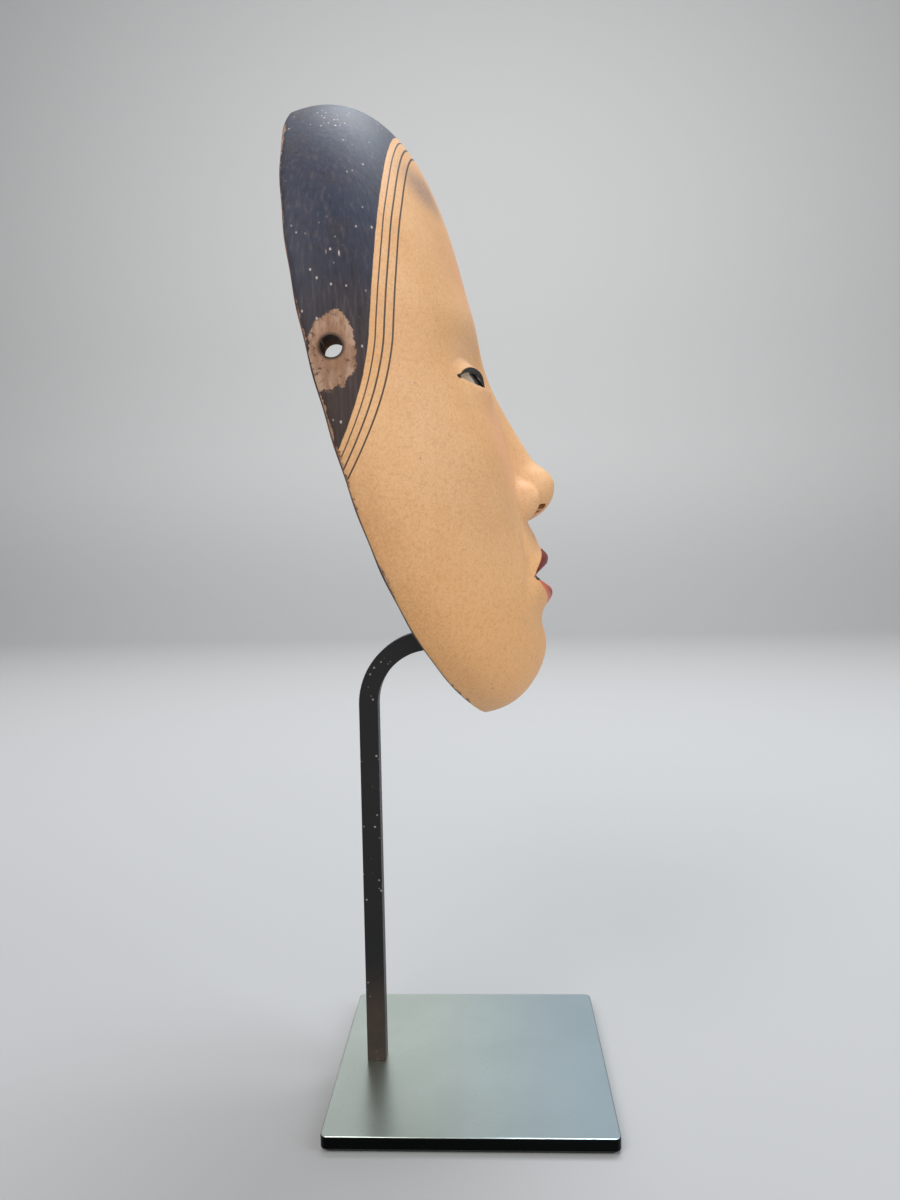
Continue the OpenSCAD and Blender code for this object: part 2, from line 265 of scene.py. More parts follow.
def place(p):
    # x = chinX + d cos(lean) - h sin(lean), z = chinZ + d sin(lean) + h cos(lean), in metres
    lean = math.radians(maskSize["lean"])
    d, y, h = p[..., 0], p[..., 1], p[..., 2]
    x = maskSize["chinX"] + d * math.cos(lean) - h * math.sin(lean)
    z = maskSize["chinZ"] + d * math.sin(lean) + h * math.cos(lean)
    return np.stack([x, y, z], -1) * mm


grid = {
    "rows": 226,
    "columns": 204,
    "rimLoops": 7,
    "rimSwell": 0.9,  # how far the rim's back is rounded
    "rimWaver": 0.12,  # how far a hand-cut edge strays
    "waverLength": 3.1,
    "cordHoleRadius": 3.0,
    "cordHoleH": 117.4,
    "cordHoleIn": 6.2,
    "edgeSteps": 6,  # Newton's steps that bring an opening's points onto its edge
    "longestStep": 0.6,
    "phiScale": 60.0,  # one radian of phi is about 60 mm across
}


def crowded(low, high, count, density):
    # Places whose spacing is inversely proportional to density: an inverted running sum
    fine = np.linspace(low, high, 4001)
    weight = density(fine)
    total = np.concatenate([[0], np.cumsum((weight[1:] + weight[:-1]) / 2)])
    return np.interp(np.linspace(0, total[-1], count), total, fine)


# Where the rows crowd, in mm: how many times more, at what height, over what spread
rowCrowds = {
    "chin": (2.5, 0, 4),
    "crown": (2.5, maskSize["height"], 4),
    "eyes": (2.6, face["eyeH"] + 1, 7),
    "mouth": (2.8, face["mouthH"], 9),
    "noseBase": (3.6, 62, 5.5),
    "cordHoles": (0.8, 117, 5),
}


def rowDensity(h):
    # 1 plus a bump of extra rows at each crowded place
    return 1 + sum(more * bump(h, at, spread) for more, at, spread in rowCrowds.values())


def columnDensity(phi):
    # 1 plus extra columns over the features, beside the nose and at the cord holes
    angle = np.abs(np.degrees(phi))
    return 1 + 1.4 * (1 - ramp(angle, 30, 48)) + 1.2 * bump(angle, 6, 5) + 2.2 * bump(angle, 82, 4)


def cordHoleDistance(p):
    # Steps forward and up from the cord hole's middle
    middle = rimDepth(grid["cordHoleH"]) + grid["cordHoleIn"]
    return p[..., 0] - middle, p[..., 2] - grid["cordHoleH"]


def holeValues(phi, h0):
    # Each opening as a function that is positive inside it: square pupils, the gap under the teeth,
    # oval nostrils and round cord holes
    p = skin(phi, h0, False)
    y = p[..., 1]
    side = np.abs(y)
    half = face["pupil"]
    up = h0 - face["eyeH"] - face["pupilUp"]
    pupil = 1 - ((side - face["eyeY"]) / half) ** 4 - (up / (half * 0.92)) ** 4
    upper, lower, x = mouthShape(y)
    gap = np.minimum(toothEnd(upper, x) - h0, h0 - lower - 0.15)
    gap = gap - face["cornerFall"] * pastEnd(y, face["mouthHalf"], 0.93)
    across, up = side - face["nostrilY"], h0 - face["nostrilH"]
    nostril = 1 - (across / face["nostrilHalfY"]) ** 2 - (up / face["nostrilHalfH"]) ** 2
    cord = 1 - np.hypot(*cordHoleDistance(p)) / grid["cordHoleRadius"]
    return [pupil, gap, nostril, cord]


def cellMiddles(values):
    # The mean of each cell's four corners
    return (values[1:, 1:] + values[:-1, 1:] + values[1:, :-1] + values[:-1, :-1]) / 4


def slideToEdge(kind, phi, h0):
    # Newton's steps towards the edge of one opening: x - f f' / |f'|^2, with each step held short
    small = 1e-4
    scale = grid["phiScale"]
    for step in range(grid["edgeSteps"]):
        value = holeValues(phi, h0)[kind]
        slopePhi = (holeValues(phi + small, h0)[kind] - value) / small
        slopeH = (holeValues(phi, h0 + small)[kind] - value) / small
        steepness = (slopePhi / scale) ** 2 + slopeH**2 + 1e-9
        move = np.clip(value / steepness, -grid["longestStep"], grid["longestStep"])
        phi = phi - move * slopePhi / scale**2
        h0 = h0 - move * slopeH
    return phi, h0


def openHoles(phi, h0):
    # Marks the cells inside an opening and slides the points on its border onto the edge
    middlePhi, middleH = cellMiddles(phi), cellMiddles(h0)
    gone = np.zeros(middlePhi.shape, bool)
    rows, columns = middlePhi.shape
    for kind, value in enumerate(holeValues(middlePhi, middleH)):
        inside = value > 0
        inside[[0, -1], :] = False
        gone |= inside
        cellsBeside = np.zeros(phi.shape, int)
        for a in (0, 1):
            for b in (0, 1):
                cellsBeside[a : a + rows, b : b + columns] += inside
        border = (cellsBeside > 0) & (cellsBeside < 4)
        phi[border], h0[border] = slideToEdge(kind, phi[border], h0[border])
    return gone


def gridTriangles(index, keep, flip=False):
    # Two triangles for each kept cell of a grid of point numbers, skipping any that has no area
    a, b = index[:-1, :-1], index[:-1, 1:]
    c, d = index[1:, 1:], index[1:, :-1]
    corners = (d, c, b, a) if flip else (a, b, c, d)
    quads = np.stack([corner[keep] for corner in corners], -1)
    tris = np.concatenate([quads[:, [0, 1, 2]], quads[:, [0, 2, 3]]])
    flat = (tris[:, 0] == tris[:, 1]) | (tris[:, 1] == tris[:, 2]) | (tris[:, 2] == tris[:, 0])
    return tris[~flat]


def allCells(index):
    # A mark for every cell of a grid of point numbers
    return np.ones((index.shape[0] - 1, index.shape[1] - 1), bool)


def makeMesh(name, points, faces):
    # A new object from points and the faces between them, shaded smooth
    mesh = bpy.data.meshes.new(name)
    mesh.from_pydata(points.tolist(), [], faces.tolist())
    mesh.polygons.foreach_set("use_smooth", np.full(len(mesh.polygons), True))
    mesh.update()
    piece = bpy.data.objects.new(name, mesh)
    bpy.context.scene.collection.objects.link(piece)
    return piece


def storeValue(piece, name, values):
    # One number for each point, for the paint to read
    layer = piece.data.attributes.new(name, "FLOAT", "POINT")
    layer.data.foreach_set("value", np.asarray(values, np.float32))


def openingWalls(index, keep, count):
    # Two triangles from the outer skin to the hollow along every edge between a kept and a lost cell
    gone = ~keep
    near, far = index[1:-1, :-1], index[1:-1, 1:]
    low, high = index[:-1, 1:-1], index[1:, 1:-1]
    edges = (
        (keep[1:, :] & gone[:-1, :], far, near),
        (gone[1:, :] & keep[:-1, :], near, far),
        (keep[:, 1:] & gone[:, :-1], low, high),
        (gone[:, 1:] & keep[:, :-1], high, low),
    )
    walls = []
    for edge, start, end in edges:
        p, q = start[edge], end[edge]
        walls += [np.stack([q + count, q, p], -1), np.stack([p + count, q + count, p], -1)]
    return walls


def rimBand(outerEdge, innerEdge):
    # Loops from the outer to the inner edge, swelling backwards by sin(pi t)^0.5 and wavering a little
    t = np.linspace(0, 1, grid["rimLoops"] + 2)[1:-1]
    t = 0.5 - 0.5 * np.cos(math.pi * t)
    band = outerEdge[:, None] * (1 - t[None, :, None]) + innerEdge[:, None] * t[None, :, None]
    waver = grid["rimWaver"] * np.sin(outerEdge[:, 2, None] / grid["waverLength"])
    band[..., 0] -= grid["rimSwell"] * np.sin(math.pi * t)[None, :] ** 0.5 - waver
    return band


def buildMask():
    # Outer skin and hollow share one grid of (phi, h), joined by the rim and by each opening's wall
    h = crowded(0, maskSize["height"], grid["rows"] + 1, rowDensity)
    angles = crowded(-math.pi / 2, math.pi / 2, grid["columns"] + 1, columnDensity)
    phi, h0 = np.meshgrid(angles, h)
    keep = ~openHoles(phi, h0)
    outer = skin(phi, h0, False)
    inner = skin(phi, h0, True)
    rows, columns = phi.shape
    count = rows * columns
    index = np.arange(count).reshape(rows, columns)
    index[0, :] = index[0, 0]
    index[-1, :] = index[-1, 0]
    faces = [gridTriangles(index, keep), gridTriangles(index, keep, True) + count]
    faces += openingWalls(index, keep, count)
    points = [outer.reshape(-1, 3), inner.reshape(-1, 3)]
    bandSize = rows * grid["rimLoops"]
    bandEnds = None
    for side, column in enumerate((0, columns - 1)):
        band = rimBand(outer[:, column], inner[:, column])
        points.append(band.reshape(-1, 3))
        loops = 2 * count + side * bandSize + np.arange(bandSize).reshape(rows, -1)
        if bandEnds is None:
            bandEnds = loops[[0, -1]].copy()
        loops[[0, -1]] = bandEnds  # both sides meet at the chin and at the crown
        edge = index[:, column, None]
        loops = np.concatenate([edge, loops, edge + count], 1)
        faces.append(gridTriangles(loops, allCells(loops), side == 0))
    points = np.concatenate(points)
    faces = np.concatenate(faces)
    used, faces = np.unique(faces, return_inverse=True)
    piece = makeMesh("noh_mask", place(points[used]), faces.reshape(-1, 3))
    for name, values in paintValues(outer, phi, h0).items():
        sides = [np.repeat(values[:, column], grid["rimLoops"]) for column in (0, -1)]
        values = np.concatenate([values.reshape(-1), values.reshape(-1), *sides])
        storeValue(piece, name, values[used])
    storeValue(piece, "inside", used >= count)
    return piece


hairPaint = {
    "part": 188.0,  # height where the two sides of the hair meet
    "end": 70.0,
    "reach": 82.0,  # from the middle line to the hair, along the dome
    "flareFrom": 118.0,
    "flare": 0.031,
    "widestAt": 119.0,
    "domeRatio": 0.69,  # the dome's depth over its half width
    "lines": ((1.9, 0.22), (4.5, 0.30), (7.5, 0.32)),  # distance from the hair and half width
}


def arcAcross(phi, h0):
    # Arc length across the bare dome: away from its middle line, and in from its edge
    dome = np.stack([np.sin(phi), hairPaint["domeRatio"] * np.cos(phi) ** 0.9], -1)
    dome = maskSize["halfWidth"] * dome * shareAt(h0, hairPaint["widestAt"], 2.1, 2.1)[..., None]
    steps = np.linalg.norm(np.diff(dome, axis=1), axis=2)
    run = np.concatenate([np.zeros((len(phi), 1)), np.cumsum(steps, 1)], 1)
    across = np.abs(run - run[:, -1:] / 2)
    return across, across[:, -1:] - across


def hairEdge(across, h0):
    # Signed distance into the hair: ((run / reach)^2 + ((h - end) / (part - end))^2 - 1) over its slope,
    # with a reach that widens by flare * (flareFrom - h)^1.7 towards the rim below the cord hole
    hair = hairPaint
    length = hair["part"] - hair["end"]
    reach = hair["reach"] + hair["flare"] * np.clip(hair["flareFrom"] - h0, 0, 60) ** 1.7
    u = across / reach
    v = np.clip((h0 - hair["end"]) / length, 0, None)
    slope = np.sqrt((2 * u / reach) ** 2 + (2 * v / length) ** 2 + 1e-6)
    return (u**2 + v**2 - 1) / slope


def paintValues(outer, phi, h0):
    # What the paint reads, in millimetres: signed distances and places, one for each point of the skin
    across, edge = arcAcross(phi, h0)
    y = maskSize["halfWidth"] * outlineShare(h0) * np.sin(phi)
    inEye, lidEdge, x = eyeShape(y, h0)
    upperLip, lowerLip = lipShape(y, h0)
    upper, lower, share = mouthShape(y)
    inTeeth = np.minimum(upper - h0, h0 - toothEnd(upper, share) + 0.9)
    forward, up = cordHoleDistance(outer)
    return {
        "hair": hairEdge(across, h0),
        "eye": inEye,
        "lidLine": np.abs(h0 - lidEdge) + 20 * np.clip(np.abs(x) - 1.12, 0, None),
        "iris": np.hypot(np.abs(y) - face["eyeY"], h0 - face["eyeH"] - face["pupilUp"]),
        "upperLip": upperLip,
        "lowerLip": lowerLip,
        "teeth": inTeeth - face["cornerFall"] * pastEnd(y, face["mouthHalf"]),
        "edge": edge,
        "hole": np.hypot(forward, up) - grid["cordHoleRadius"],
        "ring": np.hypot(forward + 0.6, 0.74 * (up + 1.2) - 0.35 * forward),
        "across": across,
        "along": h0,
    }


class Shader:
    # A material's node tree, with short calls for the sums that the finishes share
    def __init__(self, name):
        self.material = bpy.data.materials.new(name)
        self.material.use_nodes = True
        self.tree = self.material.node_tree
        self.surface = self.tree.nodes["Principled BSDF"]
        self.place = self.make("ShaderNodeTexCoord").outputs["Object"]
        self.values = {}

    def make(self, kind, **settings):
        # A new node with its own settings
        item = self.tree.nodes.new(kind)
        for key, setting in settings.items():
            setattr(item, key, setting)
        return item

    def feed(self, socket, source):
        # A link where the source is another node's output, else a fixed value
        if hasattr(source, "is_output"):
            self.tree.links.new(source, socket)
        else:
            socket.default_value = source

    def value(self, name):
        # One of the numbers stored on the points
        if name not in self.values:
            self.values[name] = self.make("ShaderNodeAttribute", attribute_name=name).outputs["Fac"]
        return self.values[name]

    def axis(self, letter):
        # One of the point's own X, Y and Z, in metres
        item = self.make("ShaderNodeSeparateXYZ")
        self.feed(item.inputs[0], self.place)
        return item.outputs[letter]

    def math(self, operation, a, b=0.0):
        item = self.make("ShaderNodeMath", operation=operation)
        self.feed(item.inputs[0], a)
        self.feed(item.inputs[1], b)
        return item.outputs[0]

    def plus(self, a, b):
        return self.math("ADD", a, b)

    def times(self, a, b):
        return self.math("MULTIPLY", a, b)

    def larger(self, a, b):
        return self.math("MAXIMUM", a, b)

    def step(self, value, low, high, start=0.0, end=1.0):
        # A smooth step from start at low to end at high
        item = self.make("ShaderNodeMapRange", interpolation_type="SMOOTHSTEP")
        sources = {"Value": value, "From Min": low, "From Max": high, "To Min": start, "To Max": end}
        for key, source in sources.items():
            self.feed(item.inputs[key], source)
        return item.outputs["Result"]

    def band(self, value, middle, far, near):
        # 1 where |value - middle| is under near, 0 where it is over far
        return self.step(self.math("ABSOLUTE", self.math("SUBTRACT", value, middle)), far, near)

    def noise(self, scale, detail=2.0, roughness=0.5, stretch=None):
        # Cloudy noise between 0 and 1, scale waves to the metre
        item = self.make("ShaderNodeTexNoise")
        self.feed(item.inputs["Scale"], scale)
        self.feed(item.inputs["Detail"], detail)
        self.feed(item.inputs["Roughness"], roughness)
        self.feed(item.inputs["Vector"], self.stretched(stretch))
        return item.outputs["Fac"]

    def wobble(self, amount, scale, detail, roughness=0.5):
        # (noise - 1/2) * amount
        centred = self.math("SUBTRACT", self.noise(scale, detail, roughness), 0.5)
        return self.times(centred, amount)

    def stretched(self, stretch):
        # The point's place times a factor along X, Y and Z: under 1 draws a pattern out
        if not stretch:
            return self.place
        item = self.make("ShaderNodeMapping")
        self.feed(item.inputs["Vector"], self.place)
        item.inputs["Scale"].default_value = stretch
        return item.outputs["Vector"]

    def spots(self, scale, far, near, stretch=None):
        # Dots round the points of a Voronoi pattern, fading out from near to far
        item = self.make("ShaderNodeTexVoronoi")
        self.feed(item.inputs["Scale"], scale)
        self.feed(item.inputs["Vector"], self.stretched(stretch))
        return self.step(item.outputs["Distance"], far, near)

    def mix(self, share, a, b):
        # a + (b - a) * share, for colours
        item = self.make("ShaderNodeMix", data_type="RGBA")
        self.feed(item.inputs["Factor"], share)
        colours = [socket for socket in item.inputs if socket.type == "RGBA"]
        self.feed(colours[0], a)
        self.feed(colours[1], b)
        return [socket for socket in item.outputs if socket.type == "RGBA"][0]

    def relief(self, height, strength, distance, below=None):
        # A normal tilted by the slope of height, laid over the relief below it
        item = self.make("ShaderNodeBump")
        self.feed(item.inputs["Height"], height)
        item.inputs["Strength"].default_value = strength
        item.inputs["Distance"].default_value = distance
        if below:
            self.feed(item.inputs["Normal"], below)
        return item.outputs["Normal"]

    def finish(self, colour, roughness, normal=None, constants=None):
        # Feeds the surface, and sets what is the same all over it on its own sockets
        self.feed(self.surface.inputs["Base Color"], colour)
        self.feed(self.surface.inputs["Roughness"], roughness)
        if normal is not None:
            self.feed(self.surface.inputs["Normal"], normal)
        for key, constant in (constants or {}).items():
            self.surface.inputs[key].default_value = constant
        return self.material


def rgb(r, g, b):
    # An opaque colour, in linear light
    return (r, g, b, 1.0)


paint = {
    "skin": rgb(0.68, 0.37, 0.165),
    "skinPale": rgb(0.79, 0.48, 0.25),
    "skinDeep": rgb(0.46, 0.225, 0.085),
    # painted bounce light from below, warming the lower face
    "paintedBounceWarmth": rgb(0.84, 0.43, 0.165),
    "blush": rgb(0.84, 0.33, 0.16),
    "smudge": rgb(0.20, 0.15, 0.15),
    # blue painted reflection of the sky on the upper hair
    "hairSkyReflection": rgb(0.020, 0.026, 0.050),
    "hairWarm": rgb(0.042, 0.026, 0.022),
    "fleck": rgb(0.50, 0.42, 0.38),
    "hairStreak": rgb(0.10, 0.075, 0.075),
    "bareWood": rgb(0.27, 0.145, 0.085),
    "barePale": rgb(0.42, 0.27, 0.19),
    "upperLip": rgb(0.16, 0.014, 0.010),
    "lowerLip": rgb(0.62, 0.13, 0.09),
    "teeth": rgb(0.022, 0.016, 0.013),
    "eyeWhite": rgb(0.40, 0.30, 0.20),
    "ink": rgb(0.012, 0.009, 0.008),
    "lacquer": rgb(0.075, 0.030, 0.014),
}

# Soft marks on the skin, in mm: place and reach up the face, place and reach across it
softMarks = {
    "cheekBlush": (84, 24, 24, 20),
    "browBlush": (138, 22, 4, 36),
    "highBrow": (163, 11, 27, 17),
}
blushDepth = {"cheek": 0.55, "brow": 0.5}


def skinPaint(s, cloud, fine, grain):
    # Paler clouds, a warmer jaw that is painted bounce light from below, a deeper rim, blush, smudged
    # high brows, stipple and specks
    along, across, edge = s.value("along"), s.value("across"), s.value("edge")
    colour = s.mix(s.step(cloud, 0.35, 0.7, 0, 0.6), paint["skin"], paint["skinPale"])
    # painted bounce light: the face turns warmer and brighter towards the chin
    colour = s.mix(s.step(along, 75, 15, 0, 0.7), colour, paint["paintedBounceWarmth"])
    colour = s.mix(s.step(edge, 12, 1, 0, 0.3), colour, paint["skinDeep"])
    up, tall, side, wide = softMarks["cheekBlush"]
    blush = s.times(s.band(along, up, tall, 0), s.band(across, side, wide, 0))
    colour = s.mix(s.times(blush, blushDepth["cheek"]), colour, paint["blush"])
    up, tall, side, wide = softMarks["browBlush"]
    blush = s.times(s.band(along, up, tall, 0), s.step(across, side + wide, side))
    colour = s.mix(s.times(blush, blushDepth["brow"]), colour, paint["blush"])
    up, tall, side, wide = softMarks["highBrow"]
    smudge = s.times(s.band(along, s.plus(up, s.times(cloud, 3)), tall, 1), s.band(across, side, wide, 3))
    smudge = s.times(smudge, s.step(fine, 0.25, 0.75, 0.55, 0.8))
    colour = s.mix(smudge, colour, paint["smudge"])
    colour = s.mix(s.step(fine, 0.30, 0.55, 0.26, 0), colour, paint["skinDeep"])
    colour = s.mix(s.step(grain, 0.34, 0.50, 0.34, 0), colour, paint["skinDeep"])
    colour = s.mix(s.step(grain, 0.52, 0.68, 0, 0.45), colour, paint["skinPale"])
    specks = s.times(s.spots(210, 0.06, 0.035), s.step(s.noise(70, 1), 0.56, 0.6))
    return s.mix(s.times(specks, 0.7), colour, paint["smudge"])


def hairLines(s, fine):
    # Three fine lines beside the mass of hair, each a band round its own distance from the hair
    soft = 0.08
    lines = None
    for away, half in hairPaint["lines"]:
        waver = s.plus(away, s.wobble(0.35, 55, 1))
        gap = s.math("ABSOLUTE", s.plus(s.value("hair"), waver))
        line = s.step(gap, half + soft, half - soft)
        lines = line if lines is None else s.larger(lines, line)
    return s.times(lines, s.step(fine, 0.2, 0.45, 0.72, 0.95))


def hairColour(s):
    # Blue-black above, the blue a painted reflection of the sky, and warmer below, streaked along the
    # grain, with flecks and longer scratches
    colour = s.mix(s.step(s.value("along"), 150, 105), paint["hairSkyReflection"], paint["hairWarm"])
    colour = s.mix(s.step(s.noise(60, 3, 0.6), 0.4, 0.75, 0, 0.5), colour, paint["hairWarm"])
    streak = s.noise(900, 3, 0.65, (1, 1, 0.07))
    colour = s.mix(s.step(streak, 0.50, 0.72, 0, 0.45), colour, paint["hairStreak"])
    colour = s.mix(s.step(streak, 0.46, 0.30, 0, 0.6), colour, paint["ink"])
    flecks = s.times(s.spots(430, 0.17, 0.09, (1, 1, 0.7)), s.step(s.noise(95, 2), 0.50, 0.56))
    scratches = s.times(s.spots(150, 0.14, 0.08, (2.6, 2.6, 0.35)), s.step(s.noise(60, 2), 0.56, 0.60))
    return s.mix(s.times(s.larger(flecks, scratches), 0.8), colour, paint["fleck"])


def eyePaint(s, colour):
    # Aged white, a dark iris round the opening, inked lids
    inEye = s.value("eye")
    white = s.step(inEye, 0.05, 0.35)
    colour = s.mix(white, colour, paint["eyeWhite"])
    colour = s.mix(s.times(white, s.step(s.value("iris"), 4.9, 4.5)), colour, paint["ink"])
    lid = s.times(s.step(s.value("lidLine"), 0.85, 0.45), s.step(inEye, -1.4, -0.9))
    colour = s.mix(lid, colour, paint["ink"])
    lowLid = s.times(s.band(inEye, 0.1, 0.35, 0.1), 0.75)
    return s.mix(lowLid, colour, paint["ink"])


def mouthPaint(s, colour):
    # Dark upper lip, red lower lip that darkens towards the opening, blackened teeth
    lowerLip = s.value("lowerLip")
    colour = s.mix(s.step(s.value("upperLip"), -0.25, 0.2), colour, paint["upperLip"])
    red = s.mix(s.step(lowerLip, 3.2, 0.2), paint["upperLip"], paint["lowerLip"])
    colour = s.mix(s.step(lowerLip, -0.35, 0.35, 0, 0.94), colour, red)
    return s.mix(s.step(s.value("teeth"), 0.15, 0.5), colour, paint["teeth"])


def bareWood(s):
    # Where the paint is gone, round the cord holes and in chips along the rim, and that wood's colour
    ragged = s.plus(s.value("ring"), s.wobble(6.5, 190, 4, 0.7))
    wear = s.plus(s.times(s.noise(260, 4, 0.75), 3.0), s.times(s.noise(38, 2), 4.0))
    chips = s.step(s.plus(s.value("edge"), wear), 3.45, 3.2)
    bare = s.larger(s.step(ragged, 7.3, 6.7), chips)
    grain = s.noise(420, 3, 0.7, (1, 1, 0.35))
    colour = s.mix(s.step(grain, 0.38, 0.62), paint["bareWood"], paint["barePale"])
    colour = s.mix(s.step(ragged, 6.2, 4.2, 0, 0.6), colour, paint["bareWood"])
    colour = s.mix(s.step(s.noise(520, 4, 0.75), 0.45, 0.34, 0, 0.75), colour, paint["hairWarm"])
    colour = s.mix(s.step(s.value("hole"), 1.2, 0.1, 0, 0.8), colour, paint["ink"])
    return bare, colour


def lacquer(s):
    # Brown lacquer with darker runs, for the hollow
    colour = s.mix(s.step(s.noise(45, 4, 0.6), 0.35, 0.7), paint["lacquer"], paint["bareWood"])
    runs = s.step(s.noise(500, 2, 0.6, (1, 1, 0.2)), 0.4, 0.65, 0.5, 0)
    return s.mix(runs, colour, paint["ink"])


def maskMaterial():
    # Skin, hair, eyes, mouth, wear and lacquer, laid over each other in that order
    s = Shader("painted_wood_finish")
    cloud = s.noise(28, 3, 0.6)
    fine = s.noise(700, 3, 0.7)
    grain = s.noise(1500, 3, 0.75)
    lines = hairLines(s, fine)
    inHair = s.step(s.plus(s.value("hair"), s.wobble(0.3, 300, 2)), -0.10, 0.12)
    colour = skinPaint(s, cloud, fine, grain)
    colour = s.mix(lines, colour, paint["hairWarm"])
    colour = s.mix(inHair, colour, hairColour(s))
    colour = eyePaint(s, colour)
    colour = mouthPaint(s, colour)
    bare, wood = bareWood(s)
    colour = s.mix(bare, colour, wood)
    colour = s.mix(s.step(s.value("inside"), 0.3, 0.7), colour, lacquer(s))
    rough = s.plus(0.40, s.times(fine, 0.14))
    rough = s.plus(rough, s.times(bare, 0.25))
    rough = s.plus(rough, s.times(inHair, 0.12))
    normal = s.relief(grain, 0.16, 0.0003)
    normal = s.relief(s.noise(330, 4, 0.6), 0.22, 0.0004, normal)
    normal = s.relief(s.math("SUBTRACT", 0, bare), 0.5, 0.0002, normal)
    normal = s.relief(s.larger(inHair, lines), 0.35, 0.00008, normal)
    return s.finish(colour, rough, normal, {"Specular IOR Level": 0.35})


steel = {
    "dust": rgb(0.5, 0.5, 0.48),
    # blue painted reflection of the sky on the plate's upper face
    "paintedTopReflection": rgb(0.42, 0.54, 0.62),
    # painted shade on the plate's edges, below its upper face
    "paintedEdgeShade": rgb(0.006, 0.007, 0.007),
    # painted brownish reflection on the foot of the bar
    "paintedFootReflection": rgb(0.045, 0.026, 0.018),
    "edgeShadeFrom": 0.00014,  # metres below the plate's upper face
    "edgeShadeTo": 0.00002,
    "greenAt": -0.035,  # metres along the plate
    "blueAt": 0.046,
    "footFrom": 0.045,  # metres above the floor
    "footTo": 0.012,
}


def paintedTopReflection(s, base, cloud):
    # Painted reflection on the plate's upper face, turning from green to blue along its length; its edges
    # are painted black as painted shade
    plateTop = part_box("base_plate")[1][2]
    top = s.step(s.axis("Z"), plateTop - steel["edgeShadeFrom"], plateTop - steel["edgeShadeTo"])
    cool = s.mix(s.step(s.axis("X"), steel["greenAt"], steel["blueAt"], 0, 0.8), base, steel["paintedTopReflection"])
    return s.mix(top, steel["paintedEdgeShade"], cool)


def paintedFootReflection(s, base, cloud):
    # A painted brownish reflection on the lowest part of the bar
    low = s.step(s.axis("Z"), steel["footFrom"], steel["footTo"])
    return s.mix(s.times(low, s.step(cloud, 0.35, 0.6, 0.3, 1)), base, steel["paintedFootReflection"])


def blackSteel(name, colour, metallic, roughness, extra=None):
    # Satin blackened steel: cloudy patina, fine scratches and dust specks
    s = Shader(name)
    cloud = s.noise(40, 4, 0.6)
    scratches = s.times(s.spots(150, 0.06, 0.03, (0.3, 2.2, 2.2)), s.step(s.noise(60, 2), 0.56, 0.60))
    specks = s.times(s.spots(420, 0.20, 0.10), s.step(s.noise(90, 2), 0.48, 0.54))
    paler = rgb(*[min(1, part * 1.5 + 0.004) for part in colour])
    base = s.mix(s.step(cloud, 0.35, 0.7, 0, 0.16), rgb(*colour), paler)
    base = s.mix(s.times(s.larger(scratches, specks), 0.5), base, steel["dust"])
    if extra:
        base = extra(s, base, cloud)
    rough = s.plus(roughness, s.times(s.math("SUBTRACT", cloud, 0.5), 0.07))
    normal = s.relief(s.noise(1500, 2, 0.6), 0.10, 0.0002)
    return s.finish(base, rough, normal, {"Metallic": metallic, "Specular IOR Level": 0.3})


def brightSteel():
    # Turned steel: noise drawn out along the turning marks
    s = Shader("bright_steel_finish")
    turned = s.noise(900, 3, 0.6, (1, 1, 0.2))
    base = s.mix(s.step(turned, 0.35, 0.65), rgb(0.42, 0.41, 0.39), rgb(0.62, 0.61, 0.58))
    rough = s.plus(0.26, s.times(turned, 0.16))
    return s.finish(base, rough, s.relief(turned, 0.12, 0.0001), {"Metallic": 1.0})


def felt(name, colour):
    # Pressed wool: matted fibres, from stretched noise in two directions
    s = Shader(name)
    fibre = s.plus(s.noise(1400, 3, 0.7, (1, 0.25, 1)), s.noise(1400, 3, 0.7, (0.25, 1, 0.6)))
    paler = rgb(*[part * 2.2 + 0.01 for part in colour])
    base = s.mix(s.step(fibre, 0.75, 1.3), rgb(*colour), paler)
    return s.finish(base, 0.95, s.relief(fibre, 0.6, 0.0004), {"Sheen Weight": 0.4})


def dress(node, material):
    # Gives a CAD piece its material
    materials = nodes[node].data.materials
    materials.clear()
    materials.append(material)


softening = {
    "merge": 0.00001,
    "flatAngle": 1,  # degrees between triangles that become one face
    "edgeAngle": 35,  # degrees past which an edge is rounded
    "segments": 3,
}


def softened(node, name, width, material, body):
    # The CAD solid again with its points merged and its sharp edges rounded over
    mesh = nodes[node].data.copy()
    mesh.name = name
    piece = bpy.data.objects.new(name, mesh)
    bpy.context.scene.collection.objects.link(piece)
    weld = piece.modifiers.new("merge", "WELD")
    weld.merge_threshold = softening["merge"]
    flat = piece.modifiers.new("dissolve", "DECIMATE")
    flat.decimate_type = "DISSOLVE"
    flat.angle_limit = math.radians(softening["flatAngle"])
    edges = piece.modifiers.new("edges", "BEVEL")
    edges.width = width
    edges.segments = softening["segments"]
    edges.limit_method = "ANGLE"
    edges.angle_limit = math.radians(softening["edgeAngle"])
    mesh.polygons.foreach_set("use_smooth", np.full(len(mesh.polygons), False))
    mesh.materials.clear()
    mesh.materials.append(material)
    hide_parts(node)
    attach(piece, body)
    return piece


padShape = {
    "around": 72,
    "over": 30,
    "square": 0.28,  # power of sine and cosine for a square plan
    "round": 1.0,
    "side": 0.42,
    "fill": 0.9,
}


def signedPower(x, power):
    # sign(x) |x|^power
    return np.sign(x) * np.abs(x) ** power


def solidAxes(node):
    # Middle, directions and half sizes of a CAD solid, from the main directions of its points
    mesh = nodes[node].data
    corners = np.empty(len(mesh.vertices) * 3)
    mesh.vertices.foreach_get("co", corners)
    corners = corners.reshape(-1, 3)
    middle = (corners.min(0) + corners.max(0)) / 2
    directions = np.linalg.svd(corners - corners.mean(0), full_matrices=False)[2]
    along = (corners - middle) @ directions.T
    middle = middle + (along.max(0) + along.min(0)) / 2 @ directions
    return middle, directions, (along.max(0) - along.min(0)) / 2


